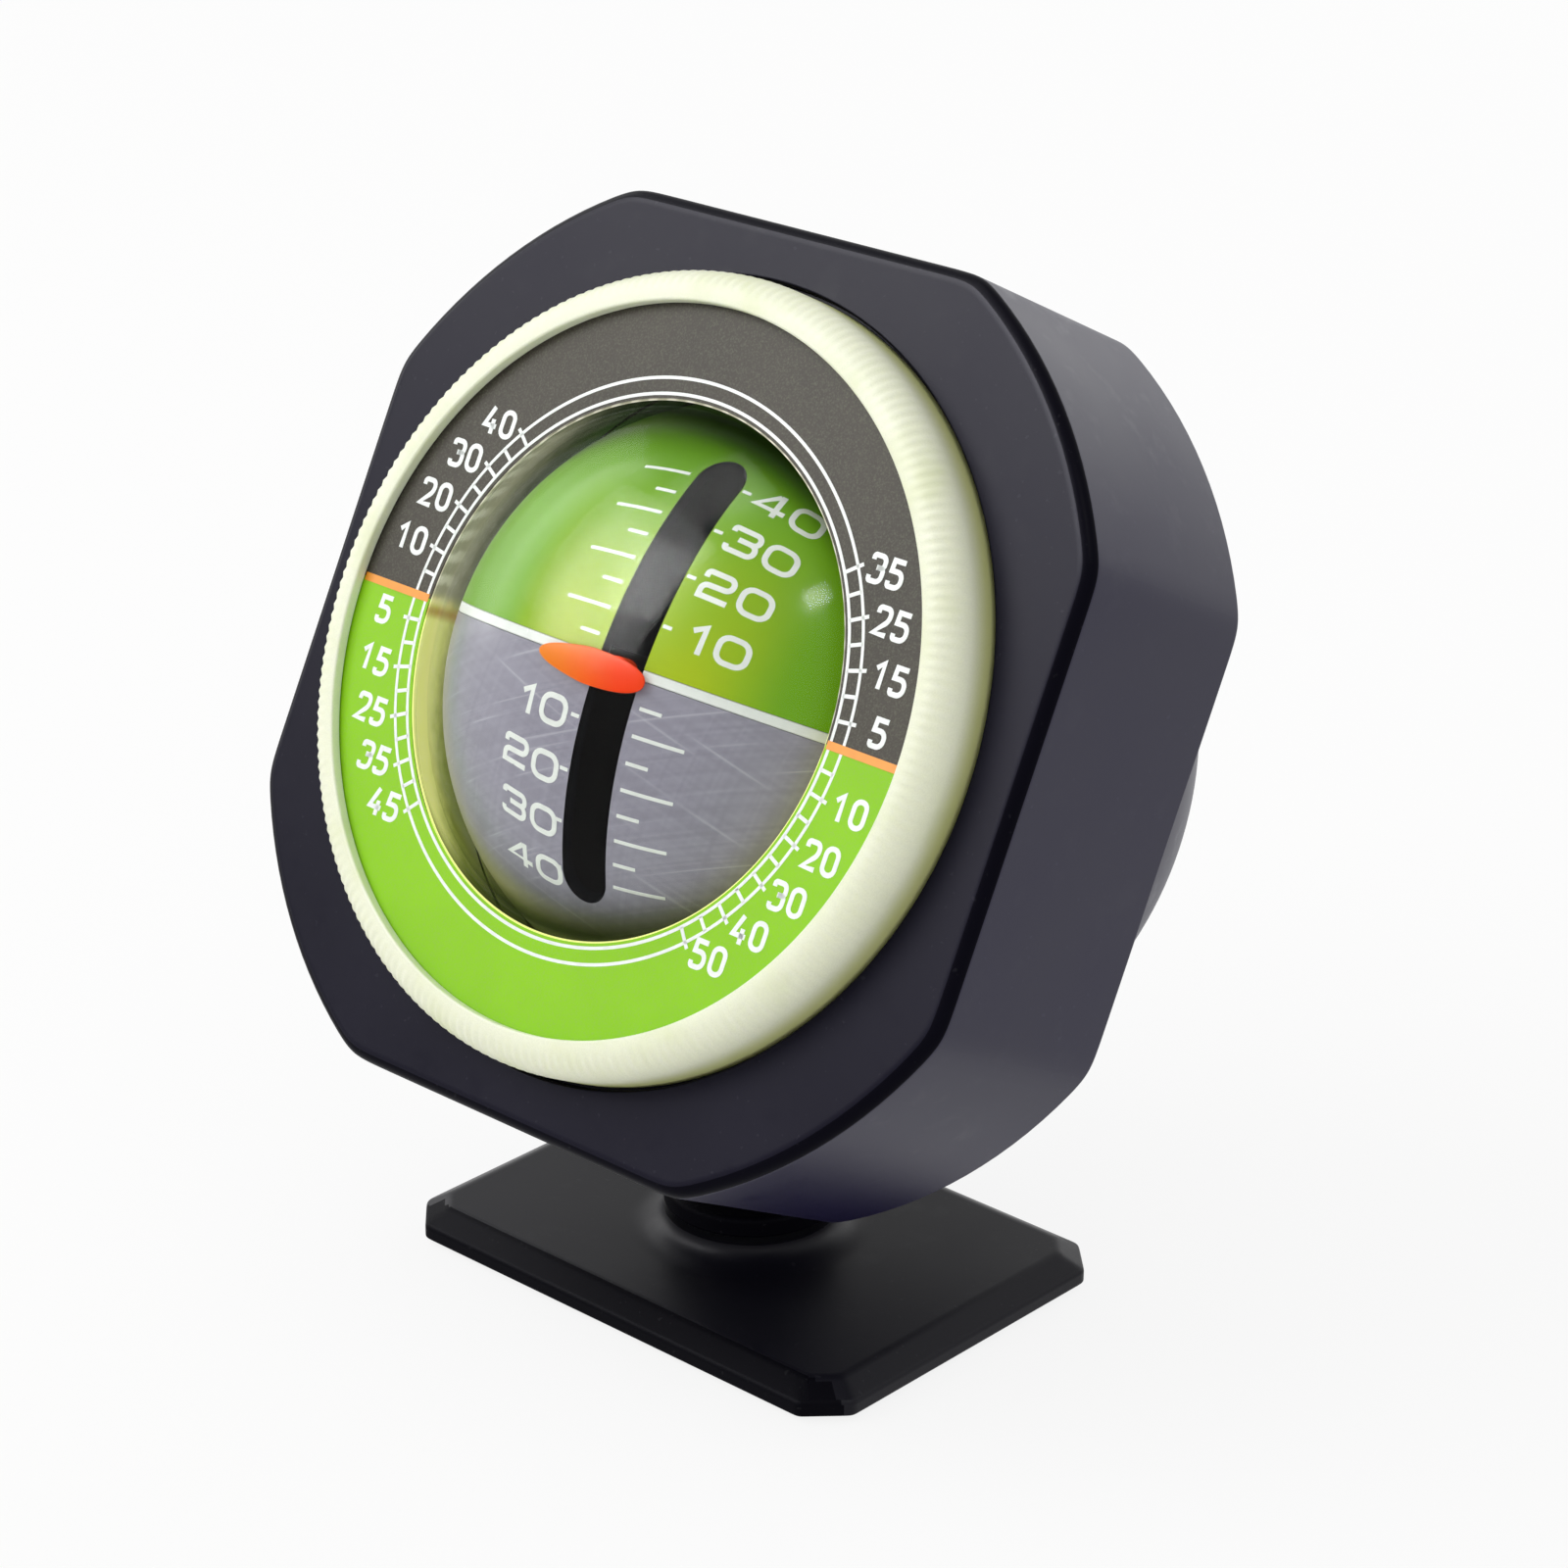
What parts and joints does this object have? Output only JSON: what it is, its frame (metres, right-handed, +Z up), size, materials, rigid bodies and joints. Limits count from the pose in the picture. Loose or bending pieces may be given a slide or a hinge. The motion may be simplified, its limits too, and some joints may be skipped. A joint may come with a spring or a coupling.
{
  "type": "dash inclinometer",
  "caption": "Small stick-down slope meter: a weighted pitch-and-roll ball in a clear dome, ringed by a degree dial, in a tilting head on a swivel foot.",
  "frame": {"origin": "centre of the adhesive pad's underside, where the foot sticks to the dash", "axes": "+Z up from the dash, -Y towards the viewer of the dial, +X to the viewer's right"},
  "size_m": [0.075, 0.0695, 0.0898],
  "materials": {
    "case": "fine moulded texture, charcoal black",
    "foot": "fine moulded texture, charcoal black",
    "glow": "satin cream with fine ribs",
    "dial": "printed disc, charcoal above and green below",
    "lens": "clear polished plastic",
    "inner_black": "satin black",
    "ball_green": "satin green with white scale",
    "ball_grey": "satin grey with white scale",
    "white": "satin white",
    "orange": "satin orange",
    "steel": "zinc plated",
    "bearing": "plain brass",
    "weight": "dull grey metal",
    "rubber": "matt black",
    "foam": "matt black adhesive foam"
  },
  "bodies": {
    "foot": {"foot_plate": "foot", "adhesive_pad": "foam", "swivel_screw": "steel", "friction_washer": "steel"},
    "fork": {"swivel_fork": "foot", "hinge_bolt": "steel", "hinge_nut": "steel"},
    "head": {"case_front": "case", "rear_cover": "case", "case_screw_1": "steel", "case_screw_2": "steel", "case_screw_3": "steel", "case_screw_4": "steel", "glow_ring": "glow", "dial_ring": "dial", "dome_lens": "lens", "capsule_back": "inner_black", "capsule_seal": "rubber", "roll_bearing": "bearing", "bearing_cap": "rubber"},
    "roll_frame": {"roll_shaft": "steel", "shaft_clip": "steel", "pitch_pointer": "orange", "pitch_axle": "steel"},
    "ball": {"upper_ball_shell": "ball_green", "lower_ball_shell": "ball_grey", "left_horizon_plate": "white", "right_horizon_plate": "white", "ball_weight": "weight"}
  },
  "joints": [
    {"name": "head_swivel", "type": "hinge", "parent": "foot", "child": "fork", "pos_m": [0, 0, 0.006], "axis": [0, 0, 1], "range_deg": [-60, 60]},
    {"name": "head_tilt", "type": "hinge", "parent": "fork", "child": "head", "pos_m": [0, 0, 0.011], "axis": [1, 0, 0], "range_deg": [-20, 27.35]},
    {"name": "ball_roll", "type": "hinge", "parent": "head", "child": "roll_frame", "pos_m": [0, -0.00015, 0.05078], "axis": [-0.2419, 0.8618, -0.4458], "continuous": true},
    {"name": "ball_pitch", "type": "hinge", "parent": "roll_frame", "child": "ball", "pos_m": [0, -0.00015, 0.05078], "axis": [0.9703, 0.2149, -0.1111], "range_deg": [-42, 42]}
  ]
}
